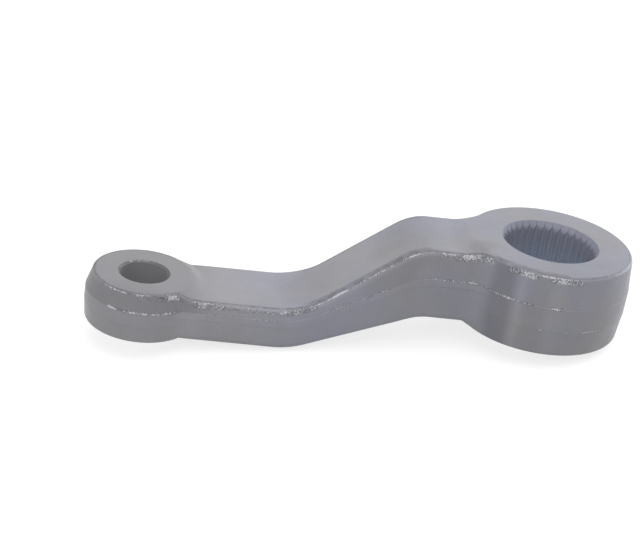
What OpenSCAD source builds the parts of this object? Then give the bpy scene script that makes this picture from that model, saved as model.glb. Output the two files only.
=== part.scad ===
// Drop pitman arm: one closed-die forging. A tall boss takes the tapered,
// serrated steering shaft, a joggled shank steps down to a lower, smaller
// boss with the taper hole for a ball stud. The dies part half way down the
// side, so the sides lean in above and below a trimmed band.
// Z runs along the shaft bore, zero is the shaft boss's upper face, and the
// shank runs towards -X.

/* [Layout] */
// Distance between the shaft axis and the stud axis
centre_distance = 150.5; // [125:0.5:180]
// How far the stud boss's upper face lies below the shaft boss's
face_drop = 29.6; // [18:0.2:36]

/* [Shaft boss] */
// Diameter over the trimmed band
shaft_boss_d = 65.2; // [60:0.2:72]
// Height between its two faces
shaft_boss_h = 32.3; // [28:0.1:40]
// Depth of the band's upper edge below the upper face
shaft_band_depth = 12.6; // [9:0.1:14]
// Height of the trimmed band
shaft_band_h = 9; // [4:0.5:12]
// Radius on the upper and lower rims
shaft_rim_r = 1.6; // [0.6:0.1:2.4]

/* [Shaft bore] */
// Serrations round the bore
serration_count = 36; // [28:1:40]
// Diameter over the serration tips at the upper, wide end
serration_tip_d = 34.2; // [30:0.1:36]
// Depth of one serration
serration_depth = 1.05; // [0.8:0.05:1.3]
// Flat left at the bottom of each groove
serration_root_flat = 0.22; // [0.1:0.02:0.4]
// Taper of the shaft bore, as one in this many on the diameter
shaft_taper = 16; // [12:1:24]
// Width of the chamfers at both ends of the shaft bore
shaft_chamfer = 1.5; // [1.2:0.05:2.2]
// Depth of the steep lead-in at the upper end
shaft_lead_in = 3.2; // [1.5:0.1:5]

/* [Stud boss] */
// Diameter over the trimmed band
stud_boss_d = 42.4; // [40:0.2:50]
// Diameter at the upper rim, where the steep side ends
stud_face_d = 38.6; // [35:0.2:40]
// Height between its two faces
stud_boss_h = 19.4; // [16:0.1:24]
// Depth of the band's upper edge below the upper face
stud_band_depth = 7.1; // [5.5:0.1:8]
// Height of the trimmed band
stud_band_h = 5.4; // [3:0.2:7]
// Radius on the upper and lower rims
stud_rim_r = 1; // [0.5:0.1:1.6]

/* [Stud bore] */
// Diameter of the stud bore's narrow, upper end
stud_bore_d = 17.9; // [14:0.1:20]
// Taper of the stud bore, as one in this many on the diameter
stud_taper = 8; // [6:0.5:12]
// Chamfer at both ends of the stud bore
stud_chamfer = 0.9; // [0.5:0.05:1.4]

/* [Shank] */
// Width of the shank's top at the shaft boss
shank_w_shaft = 33; // [26:0.2:36]
// Width of the shank's top at the stud boss
shank_w_stud = 31.6; // [26:0.2:34]
// Thickness of the shank beside the shaft boss
shank_t_shaft = 28.2; // [22:0.1:29]
// Thickness of the shank beside the stud boss
shank_t_stud = 17.1; // [13:0.1:17.2]
// Step from the shaft boss's upper face down to the shank
shaft_step = 1.5; // [1:0.1:3]
// Step from the stud boss's upper face down to the shank
stud_step = 2.1; // [1.2:0.1:2.7]
// Radius along the shank's upper edges
edge_r_top = 2.2; // [1:0.1:3]
// Radius along the upper edges on the joggle's slope
edge_r_slope = 3.4; // [2:0.1:5]
// Radius along the shank's lower edges
edge_r_under = 2.6; // [1:0.1:3]

/* [Joggle] */
// Distance from the shaft axis to the bend on the top
top_bend_shaft = 52.4; // [50:0.2:56]
// Distance from the stud axis to the bend on the top
top_bend_stud = 59.3; // [52:0.2:60]
// Distance from the shaft axis to the bend underneath
under_bend_shaft = 48; // [46:0.2:52]
// Distance from the stud axis to the bend underneath
under_bend_stud = 56; // [48:0.2:56]
// Bend radius beside the shaft boss
bend_r_shaft = 20; // [12:1:24]
// Bend radius beside the stud boss
bend_r_stud = 32; // [20:1:36]

/* [Forging] */
// Draft of the sides, in degrees
draft = 4.5; // [3:0.5:7]
// How far the trimmed band stands proud of the drafted sides
band_proud = 0.3; // [0.1:0.05:0.5]
// Height of the trimmed band along the shank
shank_band_h = 2.6; // [1.6:0.2:4]
// Blend between the shank and the shaft boss, seen from above
blend_shaft = 10; // [6:0.5:12]
// Blend between the shank and the stud boss, seen from above
blend_stud = 5; // [4:0.5:7]
// Length of the soft rise from the shank's top to the shaft boss's face
shaft_rise = 9; // [5:0.5:12]
// Length of the soft rise from the shank's top to the stud boss's face
stud_rise = 5; // [3:0.5:7]

/* [Hidden] */
$fn = 96;

// How far the shank's ends dip under the bosses' sides, so that they merge
dive = 0.12;
// Extra length of every cutter past the face it opens
past = 1;
// Smallest height of side kept above and below a band
side_min = 0.6;

shaft_r = shaft_boss_d / 2;
stud_r = stud_boss_d / 2;
stud_z = -face_drop;

// Levels of the shank: top, underside and the band's upper edge
top_hi = -shaft_step;
top_lo = stud_z - stud_step;
under_hi = top_hi - shank_t_shaft;
under_lo = top_lo - shank_t_stud;
band_hi = -shaft_band_depth;
band_lo = stud_z - stud_band_depth;

// Slope of the stud boss's steep upper side
stud_lean = atan((stud_r - band_proud - stud_face_d / 2) / (stud_band_depth - band_proud));

// Joggle: two levels joined by a sloping line with a radius at each bend
function joggle(x, x_lo, z_lo, x_hi, z_hi) =
    let (
        a = atan2(z_hi - z_lo, x_hi - x_lo),
        t_lo = bend_r_stud * tan(a / 2),
        t_hi = bend_r_shaft * tan(a / 2)
    )
    x <= x_lo - t_lo ? z_lo :
    x < x_lo + t_lo * cos(a) ? z_lo + bend_r_stud - sqrt(pow(bend_r_stud, 2) - pow(x - x_lo + t_lo, 2)) :
    x <= x_hi - t_hi * cos(a) ? z_lo + (x - x_lo) * tan(a) :
    x < x_hi + t_hi ? z_hi - bend_r_shaft + sqrt(pow(bend_r_shaft, 2) - pow(x_hi + t_hi - x, 2)) :
    z_hi;

function shank_top(x) =
    joggle(x, top_bend_stud - centre_distance, top_lo, -top_bend_shaft, top_hi);
function shank_under(x) =
    joggle(x, under_bend_stud - centre_distance, under_lo, -under_bend_shaft, under_hi);
function shank_band(x) =
    joggle(x, (top_bend_stud + under_bend_stud) / 2 - centre_distance, band_lo,
        -(top_bend_shaft + under_bend_shaft) / 2, band_hi);

// Upper edge radius: it grows on the slope and fades back past both bends
function fade(t) = let (s = min(1, max(0, t))) s * s * (3 - 2 * s);
function edge_r(x) =
    edge_r_top + (edge_r_slope - edge_r_top)
    * fade((x - top_bend_stud + centre_distance + 4) / 12)
    * fade((6 - top_bend_shaft - x) / 12);

// Share of the way from the stud axis to the shaft axis
function along(x) = (x + centre_distance) / centre_distance;

// Half width of the plain shank at its band
function half_w(x) =
    (shank_w_stud + (shank_w_shaft - shank_w_stud) * along(x)) / 2
    + band_proud + (shank_top(x) - shank_band(x)) * tan(draft);

// Centre of the blend circle between the shank's side and a boss
function blend_x(w, r, rho) = sqrt(pow(r - dive + rho, 2) - pow(w + rho, 2));

shaft_side_w = half_w(-shaft_r - 1);
stud_side_w = half_w(stud_r + 1 - centre_distance);
shaft_blend_x = blend_x(shaft_side_w, shaft_r, blend_shaft);
stud_blend_x = blend_x(stud_side_w, stud_r, blend_stud);

// Half width d inside the band's outline, at distance u from a boss's axis
function flare(u, d, w, r, rho, cx) =
    let (
        touch = cx * (1 - (rho + d) / (r - dive + rho))
    )
    u >= touch ? w + rho - sqrt(max(0, pow(rho + d, 2) - pow(min(0, u - cx), 2))) :
    sqrt(max(1, pow(r - dive - d, 2) - pow(u, 2)));

function outline(x, d) =
    -x < shaft_blend_x ? flare(-x, d, shaft_side_w, shaft_r, blend_shaft, shaft_blend_x) :
    x + centre_distance < stud_blend_x ?
        flare(x + centre_distance, d, stud_side_w, stud_r, blend_stud, stud_blend_x) :
    half_w(x) - d;

// Draft above the band: it steepens into the stud boss's own lean
function lean(x) =
    let (
        u = (x + centre_distance - stud_blend_x) / 8
    )
    draft + (stud_lean - draft) * min(1, max(0, 1 - u));

// Soft rise of height h towards a boss, over a reach outside radius r
function rise(s, r, h, reach) = h * (1 - fade((s - r) / reach));

// The rises stop this far short of the faces, so that the faces stay flat
shy = 0.02;
// How far past a face's flat part its rise begins
rim_lap = 0.15;
shaft_face_r = shaft_r - band_proud - (shaft_band_depth - band_proud) * tan(draft);
under_step = max(0.2, shaft_boss_h - shaft_step - shank_t_shaft);
shaft_foot_r = shaft_r - band_proud
    - (shaft_boss_h - shaft_band_depth - shaft_band_h - band_proud) * tan(draft);

function lift(x, y) =
    rise(norm([x, y]), shaft_face_r - shaft_rim_r + rim_lap, shaft_step - shy, shaft_rise)
    + rise(norm([x + centre_distance, y]), stud_face_d / 2 - stud_rim_r + rim_lap,
        stud_step - shy, stud_rise);
function sink(x, y) =
    rise(norm([x, y]), shaft_foot_r - shaft_rim_r + rim_lap, under_step - shy, stud_rise);

// Half of one cross-section, from the middle of the top round to the middle
// of the underside
arc_steps = 4;
top_steps = 4;
under_steps = 3;

function half_section(x) =
    let (
        r = edge_r(x),
        zt = shank_top(x),
        zu = shank_under(x),
        zb = min(shank_band(x), zt - r - side_min),
        zc = max(zb - shank_band_h, zu + edge_r_under + side_min),
        up = lift(x, outline(x, band_proud) - r),
        down = sink(x, outline(x, band_proud) - edge_r_under),
        d_top = band_proud + (zt + up - r - zb) * tan(lean(x)),
        d_under = band_proud + (zc - zu + down - edge_r_under) * tan(draft),
        wt = outline(x, d_top) - r,
        wu = outline(x, d_under) - edge_r_under
    )
    concat(
        [for (i = [0 : top_steps - 1]) let (y = wt * i / top_steps) [y, zt + lift(x, y)]],
        [for (i = [0 : arc_steps])
            let (a = 90 * i / arc_steps)
            [wt + r * sin(a), zt - r * (1 - cos(a)) + min(up, lift(x, wt))]],
        [
            [outline(x, band_proud), zb + band_proud],
            [outline(x, 0), zb],
            [outline(x, 0), zc],
            [outline(x, band_proud), zc - band_proud]
        ],
        [for (i = [0 : arc_steps])
            let (a = 90 * i / arc_steps)
            [wu + edge_r_under * cos(a), zu + edge_r_under * (1 - sin(a)) - min(down, sink(x, wu))]],
        [for (i = [1 : under_steps]) let (y = wu * (1 - i / under_steps)) [y, zu - sink(x, y)]]
    );

// Stations along the shank: close together in the blends and bends
shaft_in = shaft_blend_x * (1 - blend_shaft / (shaft_r - dive + blend_shaft));
stud_in = stud_blend_x * (1 - blend_stud / (stud_r - dive + blend_stud));
shaft_end = shaft_in - 4;
stud_end = stud_in - 4;
fine = 1.3;
coarse = 3;

function steps(a, b, pitch) =
    let (
        n = max(1, ceil(abs(b - a) / pitch))
    )
    [for (i = [0 : n - 1]) a + (b - a) * i / n];

stud_out = max(stud_blend_x + 1.5, stud_face_d / 2 + stud_rise);
shaft_out = max(shaft_blend_x + 2, shaft_face_r + shaft_rise - 1);
stations = concat(
    steps(stud_end - centre_distance, stud_in - 1 - centre_distance, fine),
    steps(stud_in - 1 - centre_distance, stud_out - centre_distance, fine * 0.8),
    steps(stud_out - centre_distance, -shaft_out, coarse),
    steps(-shaft_out, -shaft_in + 1, fine * 0.9),
    steps(-shaft_in + 1, -shaft_end, fine * 1.2),
    [-shaft_end]
);

// The shank as a skin over its cross-sections, from the stud end to the shaft end
module shank() {
    halves = [for (x = stations) half_section(x)];
    m = len(halves[0]);
    ring = 2 * m - 2;
    n = len(stations);
    rings = [
        for (k = [0 : n - 1])
            for (j = [0 : ring - 1])
                j < m
                    ? [stations[k], halves[k][j][0], halves[k][j][1]]
                    : [stations[k], -halves[k][ring - j][0], halves[k][ring - j][1]]
    ];
    hubs = [for (k = [0, n - 1]) [stations[k], 0, shank_band(stations[k])]];
    sides = [
        for (k = [0 : n - 2])
            for (j = [0 : ring - 1])
                let (
                    a = k * ring + j,
                    b = k * ring + (j + 1) % ring,
                    c = a + ring,
                    d = b + ring
                )
                each (j < m - 1 ? [[a, b, d], [a, d, c]] : [[a, b, c], [b, d, c]])
    ];
    ends = [
        for (j = [0 : ring - 1])
            let (
                next = (j + 1) % ring,
                last = (n - 1) * ring
            )
            each [[n * ring, next, j], [n * ring + 1, last + j, last + next]]
    ];
    polyhedron(points = concat(rings, hubs), faces = concat(sides, ends), convexity = 6);
}

// Quarter arc of radius r about c, from angle a to angle b
function arc(c, r, a, b, n = 5) =
    [for (i = [0 : n]) c + r * [cos(a + (b - a) * i / n), sin(a + (b - a) * i / n)]];

module shaft_boss() {
    rim = shaft_face_r;
    foot = shaft_foot_r;
    profile = concat(
        [[0, 0]],
        [for (p = arc([rim - shaft_rim_r, -shaft_rim_r], shaft_rim_r, 90, 0)) p],
        [
            [shaft_r - band_proud, -shaft_band_depth + band_proud],
            [shaft_r, -shaft_band_depth],
            [shaft_r, -shaft_band_depth - shaft_band_h],
            [shaft_r - band_proud, -shaft_band_depth - shaft_band_h - band_proud]
        ],
        arc([foot - shaft_rim_r, shaft_rim_r - shaft_boss_h], shaft_rim_r, 0, -90),
        [[0, -shaft_boss_h]]
    );
    rotate_extrude() polygon(profile);
}

module stud_boss() {
    face = stud_face_d / 2;
    under = stud_boss_h - stud_band_depth - stud_band_h - band_proud;
    foot = stud_r - band_proud - under * tan(draft);
    profile = concat(
        [[0, 0]],
        arc([face - stud_rim_r, -stud_rim_r], stud_rim_r, 90, 0, 4),
        [
            [stud_r - band_proud, -stud_band_depth + band_proud],
            [stud_r, -stud_band_depth],
            [stud_r, -stud_band_depth - stud_band_h],
            [stud_r - band_proud, -stud_band_depth - stud_band_h - band_proud]
        ],
        arc([foot - stud_rim_r, stud_rim_r - stud_boss_h], stud_rim_r, 0, -90, 4),
        [[0, -stud_boss_h]]
    );
    translate([-centre_distance, 0, stud_z])
        rotate_extrude() polygon(profile);
}

// Tapered shaft bore: a cone over the tips, and one V groove for each
// serration, leaning in with the taper
tip_r = serration_tip_d / 2;
shaft_slope = atan(0.5 / shaft_taper);

module shaft_bore() {
    low_tip_r = tip_r - shaft_boss_h * 0.5 / shaft_taper;
    grow = past * 0.5 / shaft_taper;
    groove_w = serration_root_flat / 2;
    inner = 1.6;
    translate([0, 0, -shaft_boss_h - past])
        cylinder(h = shaft_boss_h + 2 * past, r1 = low_tip_r - grow, r2 = tip_r + grow);
    for (i = [0 : serration_count - 1])
        rotate([0, 0, (i + 0.5) * 360 / serration_count])
            translate([tip_r, 0, 0])
                rotate([0, shaft_slope, 0])
                    translate([0, 0, -shaft_boss_h - past])
                        linear_extrude(height = shaft_boss_h + 2 * past)
                            polygon([
                                [-inner, -groove_w - serration_depth - inner],
                                [serration_depth, -groove_w],
                                [serration_depth, groove_w],
                                [-inner, groove_w + serration_depth + inner]
                            ]);
    translate([0, 0, -shaft_lead_in])
        cylinder(h = shaft_lead_in + past, r1 = tip_r,
            r2 = tip_r + shaft_chamfer * (1 + past / shaft_lead_in));
    translate([0, 0, -shaft_boss_h - past])
        cylinder(h = shaft_chamfer + past, r1 = low_tip_r + shaft_chamfer + past, r2 = low_tip_r);
}

module stud_bore() {
    r_up = stud_bore_d / 2;
    r_low = r_up + stud_boss_h * 0.5 / stud_taper;
    grow = past * 0.5 / stud_taper;
    translate([-centre_distance, 0, stud_z]) {
        translate([0, 0, -stud_boss_h - past])
            cylinder(h = stud_boss_h + 2 * past, r1 = r_low + grow, r2 = r_up - grow);
        translate([0, 0, -stud_chamfer])
            cylinder(h = stud_chamfer + past, r1 = r_up, r2 = r_up + stud_chamfer + past);
        translate([0, 0, -stud_boss_h - past])
            cylinder(h = stud_chamfer + past, r1 = r_low + stud_chamfer + past, r2 = r_low);
    }
}

module pitman_arm() {
    color("dimgray")
        difference() {
            union() {
                shank();
                shaft_boss();
                stud_boss();
            }
            shaft_bore();
            stud_bore();
        }
}

pitman_arm();
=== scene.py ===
import math

import bmesh
import bpy
from mathutils import Matrix, Vector


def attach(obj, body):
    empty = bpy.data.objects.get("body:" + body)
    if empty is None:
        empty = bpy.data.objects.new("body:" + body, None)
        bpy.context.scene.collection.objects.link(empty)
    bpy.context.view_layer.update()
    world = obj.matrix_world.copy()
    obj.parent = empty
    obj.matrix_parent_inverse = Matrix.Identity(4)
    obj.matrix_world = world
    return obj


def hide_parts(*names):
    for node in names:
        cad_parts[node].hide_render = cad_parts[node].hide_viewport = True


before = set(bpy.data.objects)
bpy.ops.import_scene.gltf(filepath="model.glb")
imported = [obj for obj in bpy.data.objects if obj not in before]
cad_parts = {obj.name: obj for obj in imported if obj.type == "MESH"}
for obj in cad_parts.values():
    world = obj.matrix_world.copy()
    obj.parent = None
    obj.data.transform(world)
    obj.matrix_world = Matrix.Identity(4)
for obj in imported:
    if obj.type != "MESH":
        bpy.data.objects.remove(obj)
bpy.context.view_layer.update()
print("frame loaded")


# small helpers for working in edit mode

weld = 1e-6   # points closer than this are merged, in metres


def clearSelection():
    if bpy.context.object and bpy.context.object.mode != "OBJECT":
        bpy.ops.object.mode_set(mode="OBJECT")
    bpy.ops.object.select_all(action="DESELECT")


def useOnly(obj):
    clearSelection()
    obj.select_set(True)
    bpy.context.view_layer.objects.active = obj


def editWith(obj, kind):
    # edit mode with nothing selected, picking vertices, edges or faces
    useOnly(obj)
    bpy.ops.object.mode_set(mode="EDIT")
    bpy.ops.mesh.select_mode(type=kind)
    bpy.ops.mesh.select_all(action="DESELECT")
    return bmesh.from_edit_mesh(obj.data)


def applyModifier(obj, kind, **settings):
    useOnly(obj)
    mod = obj.modifiers.new(kind.lower(), kind)
    for key, value in settings.items():
        setattr(mod, key, value)
    bpy.ops.object.modifier_apply(modifier=mod.name)


def mergeAndPointOutwards(obj, distance):
    useOnly(obj)
    bpy.ops.object.mode_set(mode="EDIT")
    bpy.ops.mesh.select_all(action="SELECT")
    bpy.ops.mesh.remove_doubles(threshold=distance)
    bpy.ops.mesh.normals_make_consistent(inside=False)
    bpy.ops.object.mode_set(mode="OBJECT")


def arc(centreR, centreZ, radius, start, end, count):
    points = []
    for i in range(count + 1):
        a = math.radians(start + (end - start) * i / count)
        points.append((centreR + radius * math.cos(a), centreZ + radius * math.sin(a)))
    return points


def revolve(name, profile, centreX, turns):
    # a closed profile of (radius, height) is drawn point by point and spun about the upright axis
    clearSelection()
    bpy.ops.mesh.primitive_plane_add(size=0.001, location=(0, 0, 0))
    obj = bpy.context.object
    obj.name = name
    editWith(obj, "VERT")
    bpy.ops.mesh.select_all(action="SELECT")
    bpy.ops.mesh.merge(type="CENTER")
    bpy.ops.transform.translate(value=(profile[0][0], 0, profile[0][1]))
    for a, b in zip(profile, profile[1:]):
        bpy.ops.mesh.extrude_region_move(
            TRANSFORM_OT_translate={"value": (b[0] - a[0], 0, b[1] - a[1])})
    mesh = editWith(obj, "VERT")
    for v in mesh.verts:
        v.select_set(len(v.link_edges) == 1)
    bmesh.update_edit_mesh(obj.data)
    bpy.ops.mesh.edge_face_add()
    bpy.ops.mesh.select_all(action="SELECT")
    bpy.ops.mesh.spin(steps=turns, angle=2 * math.pi, center=(0, 0, 0), axis=(0, 0, 1))
    bpy.ops.mesh.select_all(action="SELECT")
    bpy.ops.mesh.remove_doubles(threshold=weld)
    bpy.ops.mesh.normals_make_consistent(inside=False)
    bpy.ops.transform.translate(value=(centreX, 0, 0))
    bpy.ops.object.mode_set(mode="OBJECT")
    return obj


# the forging's sizes, in metres

layout = {
    "centreDistance": 0.1505,
    "faceDrop": 0.0296,
    "draftDegrees": 4.5,
    "bandProud": 0.00011,
}

shaftBoss = {
    "radius": 0.0326,
    "height": 0.0323,
    "bandDepth": 0.0126,
    "bandHeight": 0.009,
    "rimRadius": 0.0016,
    "step": 0.0015,
    "riseLength": 0.009,
    "underRiseLength": 0.005,
    "blendRadius": 0.010,
    "turns": 180,
}

shaftBore = {
    "teeth": 36,
    "tipRadius": 0.0171,
    "toothDepth": 0.0009,
    "taper": 16,
    "chamfer": 0.0015,
    "leadIn": 0.0032,
    "pilotShare": 0.8,      # the blank's hole, as a share of the tips' radius
    # the corners of one tooth, tip first: share of the full depth, and place within the pitch
    "cornerDepths": (0.0, 0.08, 0.55, 1.0, 1.0, 0.55),
    "cornerPlaces": (-0.11, 0.11, 0.30, 0.455, 0.545, 0.70),
    "cutterTurns": 180,
}

studBoss = {
    "radius": 0.0212,
    "faceRadius": 0.0193,
    "height": 0.0194,
    "bandDepth": 0.0071,
    "bandHeight": 0.0054,
    "rimRadius": 0.001,
    "step": 0.0021,
    "riseLength": 0.005,
    "blendRadius": 0.005,
    "turns": 160,
}

studBore = {
    "radius": 0.00895,
    "taper": 8,
    "chamfer": 0.0009,
    "pilotShare": 0.6,
    "cutterTurns": 120,
}

shank = {
    "widthAtShaft": 0.033,
    "widthAtStud": 0.0316,
    "thicknessAtShaft": 0.0282,
    "thicknessAtStud": 0.0171,
    "edgeRadiusTop": 0.0022,
    "edgeRadiusSlope": 0.0034,
    "edgeRadiusUnder": 0.0026,
    "bandHeight": 0.0026,
    "topBendShaft": 0.0524,
    "topBendStud": 0.0593,
    "underBendShaft": 0.048,
    "underBendStud": 0.056,
    "bendRadiusShaft": 0.020,
    "bendRadiusStud": 0.032,
    "stationPitch": 0.0009,
    "edgeFade": 0.012,       # run over which the edge radius changes at each bend
    "edgeFadeFoot": 0.004,   # it starts this far before the foot's bend
    "edgeFadeCrest": 0.006,  # and ends this far after the crest's
    "leanReach": 0.008,      # run over which the stud boss's lean turns into the plain draft
    "endOverlap": 0.004,     # each end goes this far into its boss
}

draftSlope = math.tan(math.radians(layout["draftDegrees"]))
dive = 0.00012   # the shank dips this far under the bosses' sides, so that they merge
shy = 0.00002    # its rises stop this far short of the faces
lap = 0.00015    # and start this far outside the rounded rims
sideGap = 0.001  # distance from a boss at which the shank's plain width is taken

topHigh = -shaftBoss["step"]
topLow = -layout["faceDrop"] - studBoss["step"]
underHigh = topHigh - shank["thicknessAtShaft"]
underLow = topLow - shank["thicknessAtStud"]
bandHigh = -shaftBoss["bandDepth"]
bandLow = -layout["faceDrop"] - studBoss["bandDepth"]

shaftFaceR = (shaftBoss["radius"] - layout["bandProud"]
              - (shaftBoss["bandDepth"] - layout["bandProud"]) * draftSlope)
shaftFootR = (shaftBoss["radius"] - layout["bandProud"]
              - (shaftBoss["height"] - shaftBoss["bandDepth"] - shaftBoss["bandHeight"]
                 - layout["bandProud"]) * draftSlope)
studLeanSlope = ((studBoss["radius"] - layout["bandProud"] - studBoss["faceRadius"])
                 / (studBoss["bandDepth"] - layout["bandProud"]))


def joggle(x, xLow, zLow, xHigh, zHigh):
    # two levels joined by a sloping line, with a radius at each bend
    slope = math.atan2(zHigh - zLow, xHigh - xLow)
    rLow, rHigh = shank["bendRadiusStud"], shank["bendRadiusShaft"]
    tLow, tHigh = rLow * math.tan(slope / 2), rHigh * math.tan(slope / 2)
    if x <= xLow - tLow:
        return zLow
    if x < xLow + tLow * math.cos(slope):
        return zLow + rLow - math.sqrt(rLow ** 2 - (x - xLow + tLow) ** 2)
    if x <= xHigh - tHigh * math.cos(slope):
        return zLow + (x - xLow) * math.tan(slope)
    if x < xHigh + tHigh:
        return zHigh - rHigh + math.sqrt(rHigh ** 2 - (xHigh + tHigh - x) ** 2)
    return zHigh


def shankTop(x):
    return joggle(x, shank["topBendStud"] - layout["centreDistance"], topLow,
                  -shank["topBendShaft"], topHigh)


def shankUnder(x):
    return joggle(x, shank["underBendStud"] - layout["centreDistance"], underLow,
                  -shank["underBendShaft"], underHigh)


def shankBand(x):
    footX = (shank["topBendStud"] + shank["underBendStud"]) / 2 - layout["centreDistance"]
    crestX = -(shank["topBendShaft"] + shank["underBendShaft"]) / 2
    return joggle(x, footX, bandLow, crestX, bandHigh)


def fade(t):
    t = min(1, max(0, t))
    return t * t * (3 - 2 * t)


def edgeRadius(x):
    # the upper edges are rounder on the slope than on the two level stretches
    pastFoot = x - shank["topBendStud"] + layout["centreDistance"] + shank["edgeFadeFoot"]
    beforeCrest = shank["edgeFadeCrest"] - shank["topBendShaft"] - x
    share = fade(pastFoot / shank["edgeFade"]) * fade(beforeCrest / shank["edgeFade"])
    return shank["edgeRadiusTop"] + (shank["edgeRadiusSlope"] - shank["edgeRadiusTop"]) * share


def halfWidth(x):
    share = (x + layout["centreDistance"]) / layout["centreDistance"]
    plain = (shank["widthAtStud"] + (shank["widthAtShaft"] - shank["widthAtStud"]) * share) / 2
    return plain + layout["bandProud"] + (shankTop(x) - shankBand(x)) * draftSlope


shaftSideW = halfWidth(-shaftBoss["radius"] - sideGap)
studSideW = halfWidth(studBoss["radius"] + sideGap - layout["centreDistance"])


def blendCentre(sideW, boss):
    reach = boss["radius"] - dive + boss["blendRadius"]
    return math.sqrt(reach ** 2 - (sideW + boss["blendRadius"]) ** 2)


shaftBlendX = blendCentre(shaftSideW, shaftBoss)
studBlendX = blendCentre(studSideW, studBoss)


def flare(u, inset, sideW, boss, centre):
    # half width next to a boss, where the shank's side sweeps out to meet it
    blend, radius = boss["blendRadius"], boss["radius"] - dive
    touch = centre * (1 - (blend + inset) / (radius + blend))
    if u >= touch:
        over = min(0, u - centre)
        return sideW + blend - math.sqrt(max(0, (blend + inset) ** 2 - over ** 2))
    return math.sqrt(max(1e-6, (radius - inset) ** 2 - u ** 2))


def outline(x, inset):
    fromStud = x + layout["centreDistance"]
    if -x < shaftBlendX:
        return flare(-x, inset, shaftSideW, shaftBoss, shaftBlendX)
    if fromStud < studBlendX:
        return flare(fromStud, inset, studSideW, studBoss, studBlendX)
    return halfWidth(x) - inset


def leanSlope(x):
    u = (x + layout["centreDistance"] - studBlendX) / shank["leanReach"]
    lean = math.atan(studLeanSlope)
    draft = math.atan(draftSlope)
    return math.tan(draft + (lean - draft) * min(1, max(0, 1 - u)))


def rise(distance, radius, height, reach):
    return height * (1 - fade((distance - radius) / reach))


def topLift(x, y):
    nearShaft = rise(math.hypot(x, y), shaftFaceR - shaftBoss["rimRadius"] + lap,
                     shaftBoss["step"] - shy, shaftBoss["riseLength"])
    nearStud = rise(math.hypot(x + layout["centreDistance"], y),
                    studBoss["faceRadius"] - studBoss["rimRadius"] + lap,
                    studBoss["step"] - shy, studBoss["riseLength"])
    return nearShaft + nearStud


def underSink(x, y):
    step = shaftBoss["height"] - shaftBoss["step"] - shank["thicknessAtShaft"]
    return rise(math.hypot(x, y), shaftFootR - shaftBoss["rimRadius"] + lap,
                step - shy, shaftBoss["underRiseLength"])


# the shank is a box that is cut into rings and shaped section by section

section = {
    "topColumns": 7,     # from the middle of the top out to where its edge begins to round
    "edgeSteps": 3,      # steps in each half of a rounded edge
    "sideRows": 3,       # rows between a rounded edge and the band
    "underColumns": 7,
}


def halfSection(x):
    # points (y, z) of the top, the side and the underside, in order from the top's middle round to
    # the underside's middle
    zTop, zUnder = shankTop(x), shankUnder(x)
    rTop, rUnder = edgeRadius(x), shank["edgeRadiusUnder"]
    proud = layout["bandProud"]
    zBand = shankBand(x)
    zBandLow = zBand - shank["bandHeight"]
    up = topLift(x, outline(x, proud) - rTop)
    down = underSink(x, outline(x, proud) - rUnder)
    insetTop = proud + (zTop + up - rTop - zBand) * leanSlope(x)
    insetUnder = proud + (zBandLow - zUnder + down - rUnder) * draftSlope
    wTop = outline(x, insetTop) - rTop
    wUnder = outline(x, insetUnder) - rUnder
    up = min(up, topLift(x, wTop))
    down = min(down, underSink(x, wUnder))
    zEdge, zFoot = zTop + up, zUnder - down
    n = section["edgeSteps"]
    columns = section["topColumns"]
    top = [(y, zTop + topLift(x, y)) for y in [wTop * i / columns for i in range(columns)]]
    top += [(wTop + rTop * math.sin(a), zEdge - rTop * (1 - math.cos(a)))
            for a in [math.radians(45 * i / n) for i in range(n + 1)]]
    side = [(wTop + rTop * math.sin(a), zEdge - rTop * (1 - math.cos(a)))
            for a in [math.radians(45 + 45 * i / n) for i in range(1, n + 1)]]
    k = section["sideRows"]
    upperEnd = (outline(x, insetTop), zEdge - rTop)
    for i in range(1, k + 1):
        z = upperEnd[1] + (zBand + 2 * proud - upperEnd[1]) * i / k
        side.append((outline(x, proud + (z - zBand) * leanSlope(x)), z))
    side += [(outline(x, proud), zBand + proud), (outline(x, 0), zBand),
             (outline(x, 0), zBand - proud), (outline(x, 0), zBandLow),
             (outline(x, proud), zBandLow - proud)]
    for i in range(1, k + 1):
        z = zBandLow - proud + (zFoot + rUnder - zBandLow + proud) * i / k
        side.append((outline(x, proud + (zBandLow - z) * draftSlope), z))
    side += [(wUnder + rUnder * math.cos(a), zFoot + rUnder * (1 - math.sin(a)))
             for a in [math.radians(45 * i / n) for i in range(1, n + 1)]]
    under = [(wUnder + rUnder * math.cos(a), zFoot + rUnder * (1 - math.sin(a)))
             for a in [math.radians(45 + 45 * i / n) for i in range(1, n + 1)]]
    m = section["underColumns"]
    under += [(y, zUnder - underSink(x, y))
              for y in [wUnder * (1 - i / m) for i in range(1, m + 1)]]
    return top, side, under


def blendEnd(blendX, boss):
    # where the blend touches the boss, measured from the boss's axis
    return blendX * (1 - boss["blendRadius"] / (boss["radius"] - dive + boss["blendRadius"]))


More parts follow.
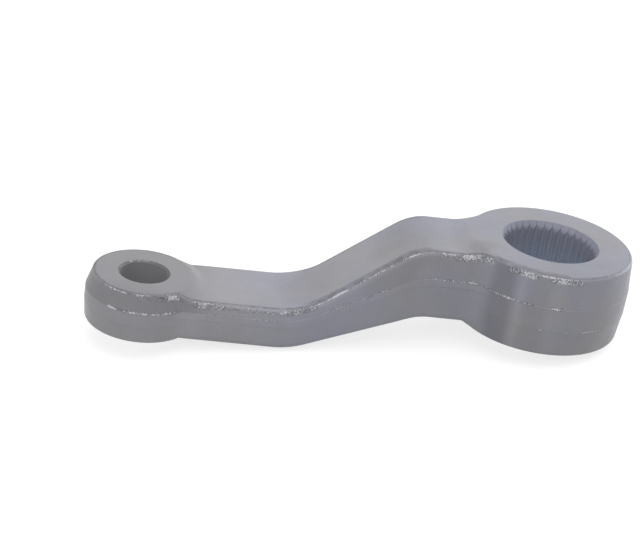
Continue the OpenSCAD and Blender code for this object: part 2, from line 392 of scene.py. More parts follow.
def makeShank():
    xStart = -layout["centreDistance"] + blendEnd(studBlendX, studBoss) - shank["endOverlap"]
    xEnd = -blendEnd(shaftBlendX, shaftBoss) + shank["endOverlap"]
    count = math.ceil((xEnd - xStart) / shank["stationPitch"])
    sampleTop, sampleSide, _ = halfSection(-layout["centreDistance"] / 2)   # to count its points
    topCuts = 2 * (len(sampleTop) - 1)
    sideCuts = len(sampleSide)
    clearSelection()
    bpy.ops.mesh.primitive_cube_add(size=1, location=(0, 0, 0))
    obj = bpy.context.object
    obj.name = "shankBlank"
    for axis, cuts in ((0, count - 1), (1, topCuts - 1), (2, sideCuts - 1)):
        # every edge that runs along this axis is cut the same number of times
        mesh = editWith(obj, "EDGE")
        for e in mesh.edges:
            run = (e.verts[0].co - e.verts[1].co).normalized()
            if abs(run[axis]) > 0.99:
                e.select_set(True)
        bmesh.update_edit_mesh(obj.data)
        bpy.ops.mesh.subdivide(number_cuts=cuts)
    mesh = bmesh.from_edit_mesh(obj.data)
    sections = {}
    for v in mesh.verts:
        i = round((v.co.x + 0.5) * count)
        j = round((v.co.y + 0.5) * topCuts)
        k = round((0.5 - v.co.z) * sideCuts)
        x = xStart + (xEnd - xStart) * i / count
        if i not in sections:
            sections[i] = halfSection(x)
        top, side, under = sections[i]
        half = topCuts // 2
        across = j - half
        sign = -1 if across < 0 else 1
        if k == 0:
            y, z = top[abs(across)]
        elif k == sideCuts:
            # the underside has its own columns, counted from the corner inwards
            run = [side[-1]] + under
            y, z = run[(half - abs(across)) * (len(run) - 1) // half]
        elif abs(across) == half:
            y, z = side[k - 1]
        else:
            # an end cap's inner points lie between its sides
            w = side[k - 1][0]
            y, z = w * abs(across) / half, side[k - 1][1]
        v.co = (x, sign * y, z)
    bmesh.update_edit_mesh(obj.data)
    bpy.ops.mesh.select_all(action="SELECT")
    bpy.ops.mesh.remove_doubles(threshold=weld)
    bpy.ops.mesh.normals_make_consistent(inside=False)
    bpy.ops.object.mode_set(mode="OBJECT")
    return obj


# the bosses are turned, each with a plain pilot hole

turned = {
    "rimSteps": 7,
    "flankSteps": 6,       # rows between the upper rim and the band
    "faceRing": 0.0012,    # width of the ring of faces next to each rim
}


def bossSide(boss, faceR, footR, top):
    # outer side from the upper face down to the lower face
    proud = layout["bandProud"]
    rim = boss["rimRadius"]
    bandTop = top - boss["bandDepth"]
    bandEnd = bandTop - boss["bandHeight"]
    foot = top - boss["height"]
    points = arc(faceR - rim, top - rim, rim, 90, 0, turned["rimSteps"])
    upper = points[-1]
    for i in range(1, turned["flankSteps"]):
        t = i / turned["flankSteps"]
        points.append((upper[0] + (boss["radius"] - proud - upper[0]) * t,
                       upper[1] + (bandTop + 2 * proud - upper[1]) * t))
    points += [(boss["radius"] - proud, bandTop + proud), (boss["radius"], bandTop),
               (boss["radius"], bandTop - proud), (boss["radius"], (bandTop + bandEnd) / 2),
               (boss["radius"], bandEnd + proud), (boss["radius"], bandEnd),
               (boss["radius"] - proud, bandEnd - proud)]
    points += arc(footR - rim, foot + rim, rim, 0, -90, turned["rimSteps"])
    return points


def makeShaftBoss():
    inner = shaftBore["tipRadius"] * shaftBore["pilotShare"]
    side = bossSide(shaftBoss, shaftFaceR, shaftFootR, 0)
    foot = -shaftBoss["height"]
    faceR, footR = side[0][0], side[-1][0]
    profile = [(inner, 0), (0.5 * (inner + faceR), 0), (faceR - turned["faceRing"], 0)] + side
    profile += [(footR - turned["faceRing"], foot), (inner, foot)]
    return revolve("shaftBossBlank", profile, 0, shaftBoss["turns"])


def makeStudBoss():
    top = -layout["faceDrop"]
    foot = top - studBoss["height"]
    under = (studBoss["height"] - studBoss["bandDepth"] - studBoss["bandHeight"]
             - layout["bandProud"])
    footR = studBoss["radius"] - layout["bandProud"] - under * draftSlope
    side = bossSide(studBoss, studBoss["faceRadius"], footR, top)
    inner = studBore["radius"] * studBore["pilotShare"]
    profile = [(inner, top), (side[0][0] - turned["faceRing"], top)] + side
    profile += [(side[-1][0] - turned["faceRing"], foot), (inner, foot)]
    return revolve("studBossBlank", profile, -layout["centreDistance"], studBoss["turns"])


# cutters for the bores

cutter = {
    "past": 0.001,          # how far a cutter reaches past each face
    "toothedPast": 0.0015,
    "core": 1e-5,           # radius kept clear round a cutter's axis
}


def makeStudCutter():
    r, c = studBore["radius"], studBore["chamfer"]
    top = -layout["faceDrop"]
    foot = top - studBoss["height"]
    low = r + studBoss["height"] * 0.5 / studBore["taper"]
    past, core = cutter["past"], cutter["core"]
    profile = [(core, top + past), (r + c + past, top + past), (r, top - c)]
    profile += [(low, foot + c), (low + c + past, foot - past), (core, foot - past)]
    return revolve("studCutter", profile, -layout["centreDistance"], studBore["cutterTurns"])


def makeShaftLeadIn():
    r, c = shaftBore["tipRadius"], shaftBore["chamfer"]
    foot = -shaftBoss["height"]
    low = r + foot * 0.5 / shaftBore["taper"]
    past, core = cutter["past"], cutter["core"]
    lead = shaftBore["leadIn"]
    profile = [(core, past), (r + c * (1 + past / lead), past), (r, -lead)]
    profile += [(low, foot + c), (low + c + past, foot - past), (core, foot - past)]
    return revolve("shaftLeadIn", profile, 0, shaftBore["cutterTurns"])


def makeToothedCutter():
    # a many-sided cylinder whose corners step between tooth tip and groove root
    depths, places = shaftBore["cornerDepths"], shaftBore["cornerPlaces"]
    perTooth = len(depths)
    depth = shaftBoss["height"] + 2 * cutter["toothedPast"]
    clearSelection()
    bpy.ops.mesh.primitive_cylinder_add(
        vertices=shaftBore["teeth"] * perTooth, radius=shaftBore["tipRadius"], depth=depth,
        location=(0, 0, -shaftBoss["height"] / 2))
    obj = bpy.context.object
    obj.name = "toothedCutter"
    bpy.ops.object.transform_apply(location=True, rotation=True, scale=True)
    pitch = 2 * math.pi / shaftBore["teeth"]
    bpy.ops.object.mode_set(mode="EDIT")
    mesh = bmesh.from_edit_mesh(obj.data)
    for v in mesh.verts:
        around = math.atan2(v.co.y, v.co.x) % (2 * math.pi)
        step = round(around / pitch * perTooth)
        tooth, corner = divmod(step, perTooth)
        a = (tooth + places[corner]) * pitch
        taperR = shaftBore["tipRadius"] + v.co.z * 0.5 / shaftBore["taper"]
        r = taperR + depths[corner] * shaftBore["toothDepth"]
        v.co.x, v.co.y = r * math.cos(a), r * math.sin(a)
    bmesh.update_edit_mesh(obj.data)
    bpy.ops.object.mode_set(mode="OBJECT")
    return obj


def combine(target, other, operation):
    applyModifier(target, "BOOLEAN", operation=operation, solver="MANIFOLD", object=other)
    bpy.data.objects.remove(other)


finishing = {
    "mergeDistance": 2e-6,
    "smoothDegrees": 32,
    "normalWeight": 50,
}

forging = makeShank()
print("shank shaped:", len(forging.data.polygons), "faces")
combine(forging, makeShaftBoss(), "UNION")
combine(forging, makeStudBoss(), "UNION")
print("bosses joined:", len(forging.data.polygons), "faces")
combine(forging, makeStudCutter(), "DIFFERENCE")
combine(forging, makeShaftLeadIn(), "DIFFERENCE")
combine(forging, makeToothedCutter(), "DIFFERENCE")
forging.name = "forgedArm"
forging.data.name = "forgedArm"
mergeAndPointOutwards(forging, finishing["mergeDistance"])
# the many-sided faces that the cuts leave are split, so that every export has the same triangles
applyModifier(forging, "TRIANGULATE", min_vertices=5, quad_method="BEAUTY", ngon_method="BEAUTY")
print("bores cut:", len(forging.data.polygons), "faces")

useOnly(forging)
bpy.ops.object.shade_smooth_by_angle(angle=math.radians(finishing["smoothDegrees"]))
applyModifier(forging, "WEIGHTED_NORMAL", keep_sharp=True, weight=finishing["normalWeight"])


# Each point of the mesh keeps how far it is from the forging's edges, in millimetres, how worn the
# paint is there, and a tone that carries painted light and shade. The material turns that into
# chips, scuffs, painted shade and painted light.
wear = {
    # strokes seen from above: from x, y to x, y, how far they reach, how strong they are
    "edgeStrokes": [                           # chips along the very edge
        (-133, -15, -95, -15.5, 4, 0.42),
        (-131, -15, -127, -15, 4, 0.70),
        (-96, -15.3, -88, -15.3, 4, 0.78),
        (-88, -15.3, -53, -15.5, 4, 0.80),     # bright line up the slope
        (-44, -16, -36, -16, 4, 0.66),
        (-34, -16, -27, -17.5, 4, 0.80),
        (-19, -24.5, -13.5, -28, 3, 0.45),     # shaft boss's rim, front left
        (-8, -29.8, 4, -30.5, 3, 0.80),
        (-165, -12.5, -156, -18.2, 3, 0.76),   # stud boss's rim
        (-152, -19.2, -143, -17.5, 3, 0.70),
        (-130, 15, -112, 15.5, 4, 0.55),       # the far side
        (-84, 15.3, -66, 15.4, 4, 0.90),
        (-50, 15.8, -34, 16, 4, 0.6),
        (-12, 28.6, 4, 30.7, 3, 0.7),
        (22, 21.6, 28, 13, 3, 0.6),
        (-160, 16, -152, 19, 3, 0.75),
    ],
    "scuffStrokes": [                          # speckle that runs down from the edge
        (-130, -15.5, -122, -15.5, 5, 0.66),
        (-122, -15.5, -96, -15.5, 5, 0.52),
        (-97, -15.5, -89, -15.5, 5, 0.74),
        (-44, -16.5, -36, -17, 4, 0.50),
        (-36, -17, -27, -19, 4, 0.76),
        (-18.5, -26, -13, -29.5, 5, 0.74),
        (-3, -31.8, 4, -32, 5, 0.72),
        (-143, -18.5, -138, -16.5, 4, 0.74),
        (-152, -20, -146, -20, 3, 0.50),
        (-126, 15.5, -112, 15.5, 5, 0.55),     # the far side
        (-46, 16.8, -34, 17.5, 4, 0.6),
        (-4, 31.8, 5, 32, 3, 0.7),
    ],
    "lineStrokes": [                           # where the line of painted edge shade is wide
        (-86, -14, -52, -14.5, 6, 1.0),
        (-22, -21, -3, -29.5, 6, 1.0),
        (-86, 14, -52, 14.5, 6, 1.0),
    ],
    "bandStrokes": [
        (-162, -18, -153.7, -21, 3, 0.86),     # stud boss, front
        (-152, -21.2, -138, -17, 4, 0.80),
        (-132, -16.6, -96, -16.8, 5, 0.50),
        (-84, -16.9, -75.5, -17, 3, 0.68),     # slope
        (-72, -17, -62, -17.3, 4, 0.55),
        (-51, -17.5, -43, -17.5, 3, 0.50),
        (-40, -17.5, -30, -18.5, 4, 0.80),
        (-30, -18.5, -12, -30.3, 4, 0.76),
        (-3.2, -32.4, -0.6, -32.6, 2, 0.86),
        (-162, 18, -148, 21, 4, 0.7),          # the far side
        (-120, 16.6, -104, 16.7, 5, 0.55),
        (-80, 16.9, -60, 17.3, 4, 0.75),
        (-44, 17.5, -28, 18.5, 4, 0.6),
        (-20, 25.5, -4, 32.4, 4, 0.72),
        (20, 25.5, 31, 8, 4, 0.6),
    ],
    "lowBandStrokes": [                        # the trimmed band's other edge
        (4, -32.3, 20, -25.5, 4, 0.95),
        (-6.4, -32.1, -5.8, -32.2, 1.6, 0.95),
        (-168, -11, -165.5, -14.5, 3, 0.6),
        (-20, 25.5, -8, 31.5, 4, 0.7),
        (-168, 10, -160, 19, 4, 0.6),
    ],
    "steepness": 1.6,                          # how soon a stroke is at full strength
}

fields = {
    "rimSlack": 0.0004,      # how far past a boss's radius a point still counts as the boss's
    "blendStart": 0.42,      # the shank's own edges take over from here, in shares of the radius
    "blendSpan": 0.3,
}


def strokeValue(strokes, x, y):
    # x and y in millimetres
    value = 0.0
    for x0, y0, x1, y1, reach, strength in strokes:
        if min(x0, x1) - reach < x < max(x0, x1) + reach and y * (y0 + y1) > 0:
            length = (x1 - x0) ** 2 + (y1 - y0) ** 2
            t = min(1, max(0, ((x - x0) * (x1 - x0) + (y - y0) * (y1 - y0)) / length))
            gap = math.hypot(x - x0 - t * (x1 - x0), y - y0 - t * (y1 - y0))
            value = max(value, strength * fade(wear["steepness"] * (1 - gap / reach)))
    return value


def shankFields(x, y, z):
    inset = layout["bandProud"] + (shankTop(x) - edgeRadius(x) - shankBand(x)) * leanSlope(x)
    edge = (z - shankTop(x) - topLift(x, y)) + (outline(x, inset) - abs(y))
    band = z - shankBand(x)
    return edge, band, band + shank["bandHeight"]


def edgeFields(x, y, z):
    # edge: above 0 on the upper faces, below 0 down the sides; band and lowBand: height over them
    bosses = ((shaftBoss, 0.0, 0.0, shaftFaceR, -1),
              (studBoss, -layout["centreDistance"], -layout["faceDrop"], studBoss["faceRadius"], 1))
    for boss, cx, top, faceR, shankSide in bosses:
        s = math.hypot(x - cx, y)
        towards = (x - cx) * shankSide / boss["radius"]
        share = fade((towards - fields["blendStart"]) / fields["blendSpan"])
        if s < boss["radius"] + fields["rimSlack"] and share < 1:
            bandTop = top - boss["bandDepth"]
            own = ((z - top) + (faceR - s), z - bandTop, z - bandTop + boss["bandHeight"])
            if share > 0:
                own = [a + (b - a) * share for a, b in zip(own, shankFields(x, y, z))]
            return own
    return shankFields(x, y, z)


# painted light and shade: patches that darken the colour where shade falls in hollows, at bends and
# on the near halves of the upper faces, and lighten it where light falls: plan x, y (either side),
# reach along and across in mm, change of tone, and the part of the surface it lies on. "high" and
# "low" are the sides over and under the band, and "front" is the upper faces on the near side.
paintedLightAndShade = [
    (-21.3, 25.2, 7.5, 9, -0.29, "side"),  # hollow where the shank meets the shaft boss
    (-16.3, 28.2, 3, 6, 0.10, "side"),
    (-9.5, 31.3, 6.5, 6, -0.11, "side"),
    (9, 31, 14, 12, -0.06, "side"),
    (-61, 16, 15, 9, -0.13, "high"),       # under the edge of the slope's upper half
    (-38, 17, 15, 9, -0.08, "high"),
    (-55, 0, 16, 22, -0.10, "top"),        # crest of the slope
    (-90, 0, 13, 22, -0.08, "top"),        # and its foot
    (-134, 15, 9, 7, 0.10, "low"),         # hollow beside the stud boss
    (-112, 16, 26, 10, 0.05, "side"),
    (-112, 0, 24, 24, 0.03, "top"),
    (-29.3, 11.8, 5.4, 8.5, -0.19, "front"),   # where the shank's top rises to the shaft boss
    (8, 24, 28, 17, -0.09, "front"),       # near halves of both upper faces
    (-155, 15, 16, 10, -0.09, "front"),
]

toneDrift = {
    # from x on, over a run, both in mm, and how much darker
    "towardsShaft": (-72, 24, 0.055),
    "studBoss": (-122, 14, 0.17),          # only above the band
    # painted shade on the stud boss's bevel below its rim
    "studBevelPaintedShade": 0.10,                     # and more below its rim
    "bevelStart": 0.4,
    "bevelRun": 1.2,
    "steepness": 1.5,                      # how soon a patch is at its full change
}


def toneValue(x, y, edge, band):
    # x and y in millimetres
    start, run, darker = toneDrift["towardsShaft"]
    tone = 1 - darker * fade((x - start) / run)
    start, run, darker = toneDrift["studBoss"]
    atStud = fade((start - x) / run)
    if band > 0:
        tone *= 1 - darker * atStud
        # painted shade on the stud boss's bevel
        if edge < -toneDrift["bevelStart"]:
            under = fade((-edge - toneDrift["bevelStart"]) / toneDrift["bevelRun"])
            tone *= 1 - toneDrift["studBevelPaintedShade"] * atStud * under
    # patches of painted light and shade darken or lighten the tone
    for px, py, along, across, change, kind in paintedLightAndShade:
        if (edge > 0) != (kind in ("top", "front")) or (kind == "front" and y > 0):
            continue
        if (kind == "low" and band > 0) or (kind == "high" and band < 0):
            continue
        gap = math.hypot((x - px) / along, (abs(y) - py) / across)
        tone *= 1 + change * fade(toneDrift["steepness"] * (1 - gap))
    return tone


def keepValues(obj):
    strokes = {
        "edgeWear": wear["edgeStrokes"],
        "scuffWear": wear["scuffStrokes"],
        "bandWear": wear["bandStrokes"],
        "lowBandWear": wear["lowBandStrokes"],
        "wideLine": wear["lineStrokes"],
    }
    kept = {name: [] for name in ("edge", "band", "lowBand", "tone", *strokes)}
    for v in obj.data.vertices:
        edge, band, lowBand = (distance * 1000 for distance in edgeFields(*v.co))
        x, y = v.co.x * 1000, v.co.y * 1000
        kept["edge"].append(edge)
        kept["band"].append(band)
        kept["lowBand"].append(lowBand)
        kept["tone"].append(toneValue(x, y, edge, band))
        for name, places in strokes.items():
            kept[name].append(strokeValue(places, x, y))
    for name, values in kept.items():
        obj.data.attributes.new(name, "FLOAT", "POINT").data.foreach_set("value", values)


keepValues(forging)
print("worn places marked")


# worn grey paint over a forged skin, with painted light and shade

paint = {
    "coolGrey": (0.258, 0.264, 0.312, 1),
    "plainGrey": (0.268, 0.264, 0.280, 1),
    "brightPrimer": (0.60, 0.60, 0.63, 1),
    "darkPit": (0.075, 0.078, 0.088, 1),
    # the bores' colours: painted shade at the mouths and the chamfer, and painted light deeper in,
    # where the walls lie in shade
    "boreMouthPaintedShade": (0.232, 0.238, 0.294, 1),
    "boreDeepPaintedLight": (0.292, 0.338, 0.428, 1),
    "studBorePaintedLight": (0.262, 0.262, 0.275, 1),
    "studChamferPaintedShade": (0.115, 0.115, 0.122, 1),
    # each noise is its scale per metre, detail and roughness
    "patchNoise": (26, 3, 0.5),        # broad patches of cool and plain grey
    "cloudNoise": (120, 3, 0.55),
    "speckNoise": (1260, 2, 0.6),
    "patchSpan": (0.33, 0.60),         # part of a noise's range that is used
    "noiseSpan": (0.3, 0.7),
    "coolFrom": (-0.130, -0.095),      # the stud boss stays plain; x in metres
    "coolLeast": 0.1,
    "cloudDepth": 0.02,
    "speckDepth": 0.025,
}

# painted shade along the start of each upper edge's rounding
edgeShadeLine = {
    # distance in mm from the edge, and reach
    "widePlace": (1.9, 2.2),
    "wideBoost": 1.4,
    "wideDepth": 0.40,                 # how dark it is where it is wide
    "thinPlace": (0.75, 0.85),
    "thinDepth": 0.50,                 # and along the other edges
    "raggedNoise": (320, 3, 0.6),      # breaks the lines up
    "raggedSpan": (0.35, 0.65),
    "ragged": (0.55, 1.15),
}

chipping = {
    "chipNoise": (1900, 2, 0.7),
    "pitNoise": (2147, 3, 0.6),
    "breakNoise": (170, 2, 0.5),
    "chipShare": 0.62,                 # share of the fine speckle, against the coarser breaks
    "contrast": 2.3,                   # how far the speckle breaks up a worn place
    # distance in mm from the edge or line, and reach
    "crestPlace": (-0.3, 1.1),
    "scuffPlace": (-1.5, 3.0),
    "bandPlace": (0.15, 1.4),
    "lowBandPlace": (0.0, 0.55),
    "boost": 1.3,
    # the stud bore's rim, in metres, worn on its far side
    "rimPlace": (0.0096, 0.0007),
    "rimSide": (0.004, 0.0085),
    "rimWear": 0.72,
    "rimDepth": 0.0015,
    "brightLevel": 0.66,
    "brightShare": 0.85,
    "darkLevel": 0.64,
    "darkShare": 0.7,
    "darkReach": 1.15,
    "soft": 0.2,
    "least": 0.04,                     # a place that is less worn than this has no chips
}

# where and how strongly the bores get painted light and shade
boreLightAndShade = {
    "shaftMask": 0.01865,              # radius that takes in the grooves, in metres
    "studMask": 0.01,
    "faceGap": 0.00003,                # keeps the flat faces out of the masks
    "deepSpan": (-0.016, -0.0035),
    "toothShade": 0.15,                # how much darker the tips are, and lighter the grooves
    "deepToothShade": 0.07,
    "chamferSpan": (0.0014, 0.0007),
}

skin = {
    "dentNoise": (110, 3, 0.5),
    "dentStrength": 0.5,
    "dentHeight": 0.0003,
    "grainNoise": (900, 4, 0.6),
    "grainStrength": 0.6,
    "grainHeight": 0.00005,
    "chipStrength": 0.5,
    "chipHeight": 0.0001,
    "glossNoise": (70, 4, 0.6),
    "roughness": (0.34, 0.48),
    "chipRougher": 0.15,
    "boreRougher": 0.12,
}


def makePaint():
    mat = bpy.data.materials.new("wornGreyForgingPaintedLightAndShade")
    mat.use_nodes = True
    nodes, links = mat.node_tree.nodes, mat.node_tree.links
    nodes.clear()
    cursor = {"x": -2600, "y": 900}

    def add(kind, **settings):
        node = nodes.new(kind)
        cursor["y"] -= 190
        if cursor["y"] < -1600:
            cursor["x"], cursor["y"] = cursor["x"] + 210, 900
        node.location = (cursor["x"], cursor["y"])
        for key, value in settings.items():
            setattr(node, key, value)
        return node

    def connect(socket, value):
        if hasattr(value, "links"):
            links.new(value, socket)
        else:
            socket.default_value = value

    def maths(operation, a, b=0.0, clamp=False):
        node = add("ShaderNodeMath", operation=operation, use_clamp=clamp)
        connect(node.inputs[0], a)
        connect(node.inputs[1], b)
        return node.outputs["Value"]

    def spread(value, low, high, toLow=0.0, toHigh=1.0):
        node = add("ShaderNodeMapRange", interpolation_type="SMOOTHSTEP")
        connect(node.inputs["Value"], value)
        for name, number in (("From Min", low), ("From Max", high),
                             ("To Min", toLow), ("To Max", toHigh)):
            node.inputs[name].default_value = number
        return node.outputs["Result"]

    def noise(scale, detail, rough):
        node = add("ShaderNodeTexNoise")
        node.inputs["Scale"].default_value = scale
        node.inputs["Detail"].default_value = detail
        node.inputs["Roughness"].default_value = rough
        links.new(coords.outputs["Object"], node.inputs["Vector"])
        return node.outputs["Fac"]

    def mixColour(factor, a, b, blend="MIX"):
        node = add("ShaderNodeMix", data_type="RGBA", blend_type=blend)
        sockets = [i for i in node.inputs if i.enabled]
        for socket, value in zip(sockets, (factor, a, b)):
            connect(socket, value)
        return [o for o in node.outputs if o.enabled][0]

    def darkened(colour, amount):
        # the colour times an even grey
        grey = add("ShaderNodeCombineColor")
        for channel in grey.inputs:
            links.new(amount, channel)
        return mixColour(1.0, colour, grey.outputs["Color"], "MULTIPLY")

    def kept(name):
        return add("ShaderNodeAttribute", attribute_name=name).outputs["Fac"]

    def near(value, centre, width):
        # 1 at the centre, falling to 0 at that width on either side
        gap = maths("ABSOLUTE", maths("SUBTRACT", value, centre))
        return maths("SUBTRACT", 1.0, maths("DIVIDE", gap, width), clamp=True)

    def boosted(value, factor):
        return maths("MULTIPLY", value, factor, clamp=True)

    def broken(amount, speckle, level):
        # speckle shows through wherever the amount lifts it over the level
        swing = maths("MULTIPLY", maths("SUBTRACT", speckle, 0.5), chipping["contrast"])
        shown = spread(maths("ADD", amount, swing), level, level + chipping["soft"])
        return maths("MULTIPLY", shown, maths("GREATER_THAN", amount, chipping["least"]))

    coords = add("ShaderNodeTexCoord")
    place = add("ShaderNodeSeparateXYZ")
    links.new(coords.outputs["Object"], place.inputs["Vector"])
    px, py, pz = (place.outputs[n] for n in "XYZ")

    # slow drift between a cool and a plain grey, with fine speckle, and the kept tone with its
    # painted light and shade
    drift = spread(noise(*paint["patchNoise"]), *paint["patchSpan"])
    drift = maths("MULTIPLY", drift, spread(px, *paint["coolFrom"], paint["coolLeast"], 1.0))
    shade = mixColour(drift, paint["plainGrey"], paint["coolGrey"])
    speck = spread(noise(*paint["speckNoise"]), *paint["noiseSpan"],
                   1 - paint["speckDepth"], 1 + paint["speckDepth"])
    cloud = spread(noise(*paint["cloudNoise"]), *paint["noiseSpan"],
                   1 - paint["cloudDepth"], 1 + paint["cloudDepth"])
    tone = maths("MULTIPLY", maths("MULTIPLY", speck, cloud), kept("tone"))

    # painted shade: a dark line along the start of each upper edge's rounding, widest on the slope
    edge = kept("edge")
    ragged = spread(noise(*edgeShadeLine["raggedNoise"]), *edgeShadeLine["raggedSpan"],
                    *edgeShadeLine["ragged"])
    wide = boosted(near(edge, *edgeShadeLine["widePlace"]), edgeShadeLine["wideBoost"])
    wide = maths("MULTIPLY", maths("MULTIPLY", wide, kept("wideLine")), edgeShadeLine["wideDepth"])
    thin = maths("MULTIPLY", near(edge, *edgeShadeLine["thinPlace"]), edgeShadeLine["thinDepth"])
    line = maths("MULTIPLY", maths("MAXIMUM", wide, thin), ragged)
    tone = maths("MULTIPLY", tone, maths("SUBTRACT", 1.0, line, clamp=True))
    shade = darkened(shade, tone)

    # the bores are machined; they get painted light deeper in, where their walls lie in shade, and
    # painted shade at the shaft bore's mouth and the stud bore's chamfer
    def boreMask(cx, radius, top, foot):
        away = maths("SQRT", maths("ADD", maths("POWER", maths("SUBTRACT", px, cx), 2.0),
                                   maths("POWER", py, 2.0)))
        inside = maths("LESS_THAN", away, radius)
        below = maths("LESS_THAN", pz, top - boreLightAndShade["faceGap"])
        above = maths("GREATER_THAN", pz, foot + boreLightAndShade["faceGap"])
        return away, maths("MULTIPLY", inside, maths("MULTIPLY", below, above))

    shaftAway, shaftMask = boreMask(0.0, boreLightAndShade["shaftMask"], 0.0, -shaftBoss["height"])
    studTop = -layout["faceDrop"]
    studAway, studMask = boreMask(-layout["centreDistance"], boreLightAndShade["studMask"], studTop,
                                  studTop - studBoss["height"])
    deep = spread(pz, *boreLightAndShade["deepSpan"], 1.0, 0.0)
    shaftShade = mixColour(deep, paint["boreMouthPaintedShade"], paint["boreDeepPaintedLight"])
    # painted shade on the teeth's tips and painted light in the bottoms of the grooves even out the
    # teeth's shading
    wall = maths("ADD", maths("MULTIPLY", pz, 0.5 / shaftBore["taper"]), shaftBore["tipRadius"])
    inGroove = maths("DIVIDE", maths("SUBTRACT", shaftAway, wall), shaftBore["toothDepth"],
                     clamp=True)
    share = spread(deep, 0.0, 1.0, boreLightAndShade["toothShade"], boreLightAndShade["deepToothShade"])
    evened = maths("MULTIPLY", spread(inGroove, 0.0, 1.0, -1.0, 1.0), share)
    shade = mixColour(shaftMask, shade, darkened(shaftShade, maths("ADD", 1.0, evened)))
    chamferStart, chamferEnd = boreLightAndShade["chamferSpan"]
    chamferShare = spread(pz, studTop - chamferStart, studTop - chamferEnd)
    studShade = mixColour(chamferShare, paint["studBorePaintedLight"], paint["studChamferPaintedShade"])
    shade = mixColour(studMask, shade, studShade)
    bores = maths("MAXIMUM", shaftMask, studMask)

    # chips and scuffs
    chips = noise(*chipping["chipNoise"])
    pits = noise(*chipping["pitNoise"])
    breaks = noise(*chipping["breakNoise"])
    speckle = maths("ADD", maths("MULTIPLY", chips, chipping["chipShare"]),
                    maths("MULTIPLY", breaks, 1 - chipping["chipShare"]))
    crest = boosted(near(edge, *chipping["crestPlace"]), chipping["boost"])
    crest = maths("MULTIPLY", crest, kept("edgeWear"))
    scuff = boosted(near(edge, *chipping["scuffPlace"]), chipping["boost"])
    scuff = maths("MULTIPLY", scuff, kept("scuffWear"))
    bandChips = maths("MULTIPLY", near(kept("band"), *chipping["bandPlace"]), kept("bandWear"))
    lowChips = maths("MULTIPLY", near(kept("lowBand"), *chipping["lowBandPlace"]),
                     kept("lowBandWear"))
    rimChips = maths("MULTIPLY", near(studAway, *chipping["rimPlace"]),
                     spread(py, *chipping["rimSide"], 0.0, chipping["rimWear"]))
    rimChips = maths("MULTIPLY", rimChips,
                     maths("GREATER_THAN", pz, studTop - chipping["rimDepth"]))
    worn = crest
    for wornPlace in (scuff, bandChips, lowChips, rimChips):
        worn = maths("MAXIMUM", worn, wornPlace)
    bright = broken(worn, speckle, chipping["brightLevel"])
    dark = broken(maths("MULTIPLY", worn, chipping["darkReach"]), pits, chipping["darkLevel"])
    shade = mixColour(maths("MULTIPLY", dark, chipping["darkShare"]), shade, paint["darkPit"])
    shade = mixColour(maths("MULTIPLY", bright, chipping["brightShare"]), shade,
                      paint["brightPrimer"])

    # forged skin: shallow dents, fine grain, and a step at the edge of each chip
    def bump(height, strength, distance, below=None, invert=False):
        node = add("ShaderNodeBump", invert=invert)
        node.inputs["Strength"].default_value = strength
        node.inputs["Distance"].default_value = distance
        links.new(height, node.inputs["Height"])
        if below is not None:
            links.new(below, node.inputs["Normal"])
        return node.outputs["Normal"]

    normal = bump(noise(*skin["dentNoise"]), skin["dentStrength"], skin["dentHeight"])
    normal = bump(noise(*skin["grainNoise"]), skin["grainStrength"], skin["grainHeight"], normal)
    normal = bump(bright, skin["chipStrength"], skin["chipHeight"], normal, invert=True)

    gloss = spread(noise(*skin["glossNoise"]), *paint["noiseSpan"], *skin["roughness"])
    gloss = maths("ADD", gloss, maths("MULTIPLY", bright, skin["chipRougher"]))
    gloss = maths("ADD", gloss, maths("MULTIPLY", bores, skin["boreRougher"]))

    shader = add("ShaderNodeBsdfPrincipled")
    output = add("ShaderNodeOutputMaterial")
    links.new(shade, shader.inputs["Base Color"])
    links.new(gloss, shader.inputs["Roughness"])
    links.new(normal, shader.inputs["Normal"])
    shader.inputs["Metallic"].default_value = 0.0
    shader.inputs["IOR"].default_value = 1.5
    links.new(shader.outputs["BSDF"], output.inputs["Surface"])
    return mat


forging.data.materials.clear()
forging.data.materials.append(makePaint())
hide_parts("pitman_arm")
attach(forging, "root")
print("painted")


# the floor is the plane that the arm would lie on

floorSpec = {
    "size": 6.0,
    "contact": (0.0315, 0.0, -0.0328),
    "tiltDegrees": 7.0,
    "drop": 0.0012,
    "whiteShare": 0.76,      # share of the seen white that no shadow takes away
    "seenAlbedo": 0.34,
    "albedo": 0.55,          # how much light it throws back on the arm
}


def seenShare(nodes, links):
    # 1 for what the camera sees, itself or mirrored or through glass, and 0 for other light
    path = nodes.new("ShaderNodeLightPath")
    share = path.outputs["Is Camera Ray"]
    for ray in ("Is Glossy Ray", "Is Transmission Ray"):
        either = nodes.new("ShaderNodeMath")
        either.operation = "MAXIMUM"
        links.new(share, either.inputs[0])
        links.new(path.outputs[ray], either.inputs[1])
        share = either.outputs["Value"]
    return share


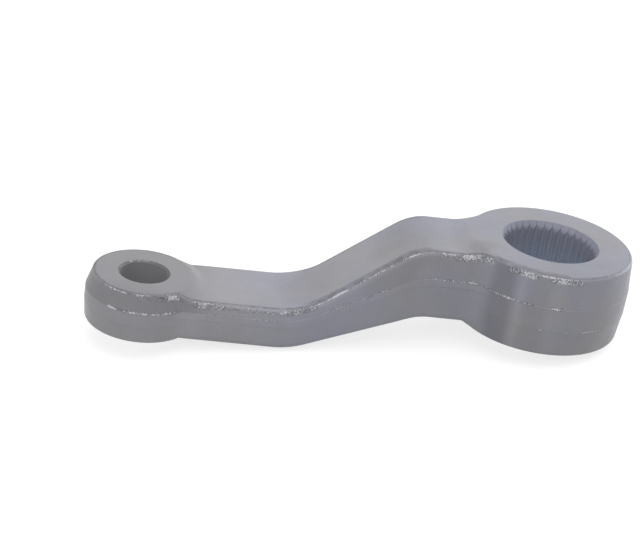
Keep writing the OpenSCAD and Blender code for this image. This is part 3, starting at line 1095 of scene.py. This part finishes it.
def makeFloor():
    clearSelection()
    bpy.ops.mesh.primitive_plane_add(size=floorSpec["size"])
    obj = bpy.context.object
    obj.name = "studioFloor"
    tilt = Matrix.Rotation(math.radians(-floorSpec["tiltDegrees"]), 4, "Y")
    place = Matrix.Translation(Vector(floorSpec["contact"]) - Vector((0, 0, floorSpec["drop"])))
    obj.data.transform(place @ tilt)
    mat = bpy.data.materials.new("paleFloor")
    mat.use_nodes = True
    nodes, links = mat.node_tree.nodes, mat.node_tree.links
    nodes.clear()
    out = nodes.new("ShaderNodeOutputMaterial")
    bounce = nodes.new("ShaderNodeBsdfDiffuse")
    bounce.inputs["Color"].default_value = (floorSpec["albedo"],) * 3 + (1,)
    shadowed = nodes.new("ShaderNodeBsdfDiffuse")
    shadowed.inputs["Color"].default_value = (floorSpec["seenAlbedo"],) * 3 + (1,)
    glow = nodes.new("ShaderNodeEmission")
    glow.inputs["Strength"].default_value = floorSpec["whiteShare"]
    both = nodes.new("ShaderNodeAddShader")
    pick = nodes.new("ShaderNodeMixShader")
    links.new(shadowed.outputs["BSDF"], both.inputs[0])
    links.new(glow.outputs["Emission"], both.inputs[1])
    links.new(seenShare(nodes, links), pick.inputs["Fac"])
    links.new(bounce.outputs["BSDF"], pick.inputs[1])
    links.new(both.outputs["Shader"], pick.inputs[2])
    links.new(pick.outputs["Shader"], out.inputs["Surface"])
    obj.data.materials.append(mat)


makeFloor()


# world and lamps
studio = {
    "ambient": 0.54,
    "lamps": [
        # name, place, size, power, colour
        ("overhead", (-0.10, -0.05, 1.15), (2.0, 1.5), 9.9, (1.0, 1.0, 1.0)),
        ("front", (-0.10, -1.0, 0.85), (0.8, 0.6), 2.4, (1.0, 1.0, 1.0)),
        ("leftFront", (-0.95, -0.75, 0.55), (0.45, 1.0), 1.6, (0.97, 0.98, 1.0)),
        ("rightSide", (0.95, 0.62, 0.40), (0.5, 0.8), 5.5, (1.0, 1.0, 1.0)),
    ],
    "aim": (-0.06, 0.0, -0.02),
}


def lightStudio():
    world = bpy.data.worlds.new("paleStudio")
    bpy.context.scene.world = world
    world.use_nodes = True
    nodes, links = world.node_tree.nodes, world.node_tree.links
    nodes.clear()
    out = nodes.new("ShaderNodeOutputWorld")
    back = nodes.new("ShaderNodeBackground")
    back.inputs["Color"].default_value = (1, 1, 1, 1)
    level = nodes.new("ShaderNodeMapRange")
    level.inputs["To Min"].default_value = studio["ambient"]
    level.inputs["To Max"].default_value = 1.0
    links.new(seenShare(nodes, links), level.inputs["Value"])
    links.new(level.outputs["Result"], back.inputs["Strength"])
    links.new(back.outputs["Background"], out.inputs["Surface"])
    for name, place, size, power, colour in studio["lamps"]:
        data = bpy.data.lights.new(name, "AREA")
        data.shape = "RECTANGLE"
        data.size, data.size_y = size
        data.energy = power
        data.color = colour
        lamp = bpy.data.objects.new(name, data)
        bpy.context.collection.objects.link(lamp)
        lamp.location = place
        aim = Vector(studio["aim"]) - Vector(place)
        lamp.rotation_euler = aim.to_track_quat("-Z", "Y").to_euler()


lightStudio()
print("floor and lamps in place")


# the camera stands where the photograph was taken from
cameraSpec = {
    "right": (0.9849102, -0.0833129, 0.1516933),
    "down": (0.0997888, -0.4427519, -0.8910740),
    "forward": (0.1414005, 0.8927652, -0.4277572),
    "offset": (0.0871765, -0.0094961, 0.6798933),   # the shaft boss's face seen from the camera
    "sensor": 36,
    "lens": 101.25,
    "nearest": 0.01,
}


def placeCamera():
    data = bpy.data.cameras.new("photoCamera")
    data.sensor_width = cameraSpec["sensor"]
    data.lens = cameraSpec["lens"]
    data.clip_start = cameraSpec["nearest"]
    cam = bpy.data.objects.new("photoCamera", data)
    bpy.context.collection.objects.link(cam)
    right, down, forward = (Vector(cameraSpec[k]) for k in ("right", "down", "forward"))
    turn = Matrix((right, -down, -forward)).transposed()
    ox, oy, oz = cameraSpec["offset"]
    place = -(right * ox + down * oy + forward * oz)
    cam.matrix_world = Matrix.Translation(place) @ turn.to_4x4()
    bpy.context.scene.camera = cam


placeCamera()
bpy.context.scene.view_settings.view_transform = "Standard"

bpy.context.view_layer.update()
print("scene ready")
